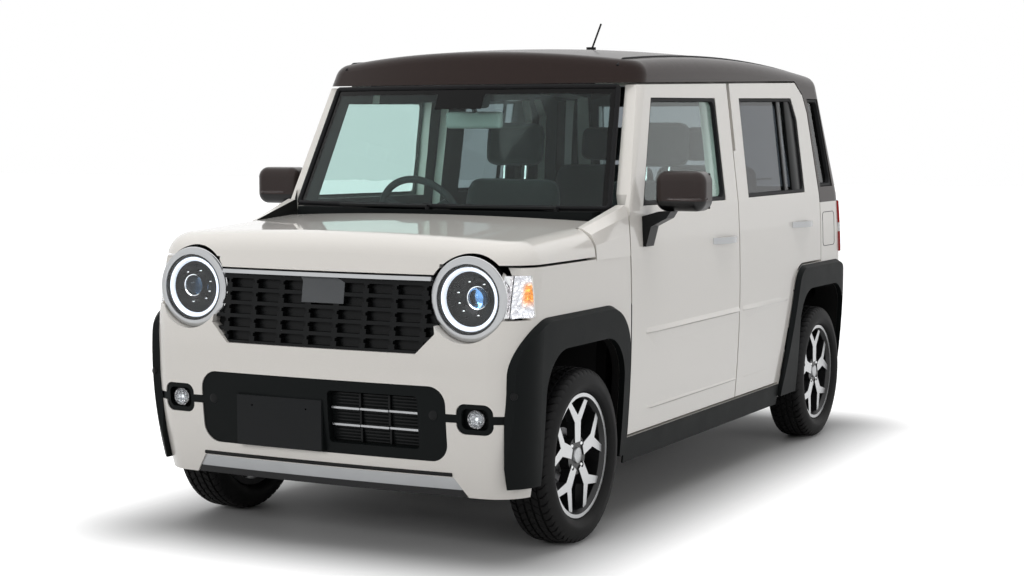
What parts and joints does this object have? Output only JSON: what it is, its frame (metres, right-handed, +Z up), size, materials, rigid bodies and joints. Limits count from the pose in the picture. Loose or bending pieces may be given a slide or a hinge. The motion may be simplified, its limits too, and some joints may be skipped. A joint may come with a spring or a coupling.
{
  "type": "kei car",
  "caption": "Tall boxy small crossover car in white with a dark roof, black arch mouldings, round headlamps, opening doors, bonnet and tailgate, steered and rolling wheels.",
  "frame": {"origin": "on the road under the middle of the overall box", "axes": "+X forward, +Y to the left side of the car, +Z up"},
  "size_m": [3.3948, 1.862, 1.8026],
  "materials": {
    "white": "pearl gloss paint",
    "brown": "dark metallic gloss paint",
    "black_trim": "grained black plastic",
    "chrome": "bright plated",
    "silver": "silver satin paint",
    "lamp_body": "plated and dark lamp housing",
    "clear_lens": "clear lamp lens",
    "red_lens": "red lamp lens",
    "clear_glass": "clear greenish glass",
    "tinted_glass": "grey privacy glass",
    "underbody": "primed sheet steel",
    "engine": "cast",
    "chassis": "black chassis paint",
    "alloy": "machined and black painted alloy",
    "tyre": "rubber",
    "interior": "grained dark plastic",
    "seat_fabric": "woven dark fabric",
    "plate": "blank dark plate"
  },
  "bodies": {
    "body": {"antenna": "black_trim", "arch_mouldings": "black_trim", "body_side_left": "white", "body_side_right": "white", "bumper_insert": "black_trim", "chrome_bar": "chrome", "cowl_panel": "black_trim", "dashboard": "interior", "engine": "engine", "fog_lamps": "clear_lens", "front_bumper": "white", "front_suspension": "chassis", "front_wings": "white", "grille": "black_trim", "headlamp_lenses": "clear_lens", "headlamps": "lamp_body", "number_plate": "plate", "quarter_glass": "tinted_glass", "rear_axle": "chassis", "rear_bumper": "white", "roof_panel": "brown", "seats": "seat_fabric", "skid_plate": "silver", "tail_lamps": "red_lens", "underbody": "underbody", "windscreen": "clear_glass", "wipers": "black_trim"},
    "bonnet": {"bonnet": "white"},
    "door_front_left": {"door_front_left": "white", "window_front_left": "clear_glass", "handle_front_left": "chrome", "mirror_left": "brown", "mirror_foot_left": "black_trim"},
    "door_front_right": {"door_front_right": "white", "window_front_right": "clear_glass", "handle_front_right": "chrome", "mirror_right": "brown", "mirror_foot_right": "black_trim"},
    "door_rear_left": {"door_rear_left": "white", "window_rear_left": "tinted_glass", "handle_rear_left": "chrome"},
    "door_rear_right": {"door_rear_right": "white", "window_rear_right": "tinted_glass", "handle_rear_right": "chrome"},
    "tailgate": {"tailgate": "white", "tailgate_glass": "tinted_glass"},
    "knuckle_left": {"knuckle_left": "chassis"},
    "knuckle_right": {"knuckle_right": "chassis"},
    "wheel_front_left": {"wheel_front_left": "alloy", "tyre_front_left": "tyre"},
    "wheel_front_right": {"wheel_front_right": "alloy", "tyre_front_right": "tyre"},
    "wheel_rear_left": {"wheel_rear_left": "alloy", "tyre_rear_left": "tyre"},
    "wheel_rear_right": {"wheel_rear_right": "alloy", "tyre_rear_right": "tyre"},
    "steering_wheel": {"steering_wheel": "interior"}
  },
  "joints": [
    {"name": "bonnet_lift", "type": "hinge", "parent": "body", "child": "bonnet", "pos_m": [1, 0, 1.029], "axis": [0, -1, 0], "range_deg": [0, 55]},
    {"name": "door_front_left_swing", "type": "hinge", "parent": "body", "child": "door_front_left", "pos_m": [0.766, 0.698, 0.7], "axis": [0, 0, -1], "range_deg": [0, 68]},
    {"name": "door_front_right_swing", "type": "hinge", "parent": "body", "child": "door_front_right", "pos_m": [0.766, -0.698, 0.7], "axis": [0, 0, 1], "range_deg": [0, 68]},
    {"name": "door_rear_left_swing", "type": "hinge", "parent": "body", "child": "door_rear_left", "pos_m": [-0.294, 0.698, 0.7], "axis": [0, 0, -1], "range_deg": [0, 75]},
    {"name": "door_rear_right_swing", "type": "hinge", "parent": "body", "child": "door_rear_right", "pos_m": [-0.294, -0.698, 0.7], "axis": [0, 0, 1], "range_deg": [0, 75]},
    {"name": "tailgate_lift", "type": "hinge", "parent": "body", "child": "tailgate", "pos_m": [-1.479, 0, 1.543], "axis": [0, 1, 0], "range_deg": [0, 80]},
    {"name": "steer_left", "type": "hinge", "parent": "body", "child": "knuckle_left", "pos_m": [1.2105, 0.6, 0.2895], "axis": [0, 0, 1], "range_deg": [-33, 33]},
    {"name": "steer_right", "type": "hinge", "parent": "body", "child": "knuckle_right", "pos_m": [1.2105, -0.6, 0.2895], "axis": [0, 0, 1], "range_deg": [-33, 33]},
    {"name": "steering_wheel_turn", "type": "hinge", "parent": "body", "child": "steering_wheel", "pos_m": [0.43, -0.34, 1.012], "axis": [-0.9061, 0, 0.423], "range_deg": [-540, 540]},
    {"name": "wheel_front_left_spin", "type": "hinge", "parent": "knuckle_left", "child": "wheel_front_left", "pos_m": [1.2105, 0.6475, 0.2895], "axis": [0, 1, 0], "continuous": true},
    {"name": "wheel_front_right_spin", "type": "hinge", "parent": "knuckle_right", "child": "wheel_front_right", "pos_m": [1.2105, -0.6475, 0.2895], "axis": [0, 1, 0], "continuous": true},
    {"name": "wheel_rear_left_spin", "type": "hinge", "parent": "body", "child": "wheel_rear_left", "pos_m": [-1.2495, 0.6475, 0.2895], "axis": [0, 1, 0], "continuous": true},
    {"name": "wheel_rear_right_spin", "type": "hinge", "parent": "body", "child": "wheel_rear_right", "pos_m": [-1.2495, -0.6475, 0.2895], "axis": [0, 1, 0], "continuous": true}
  ],
  "couplings": [
    {"joint": "steer_right", "follows": "steer_left", "ratio": 1},
    {"joint": "steering_wheel_turn", "follows": "steer_left", "ratio": 15}
  ]
}
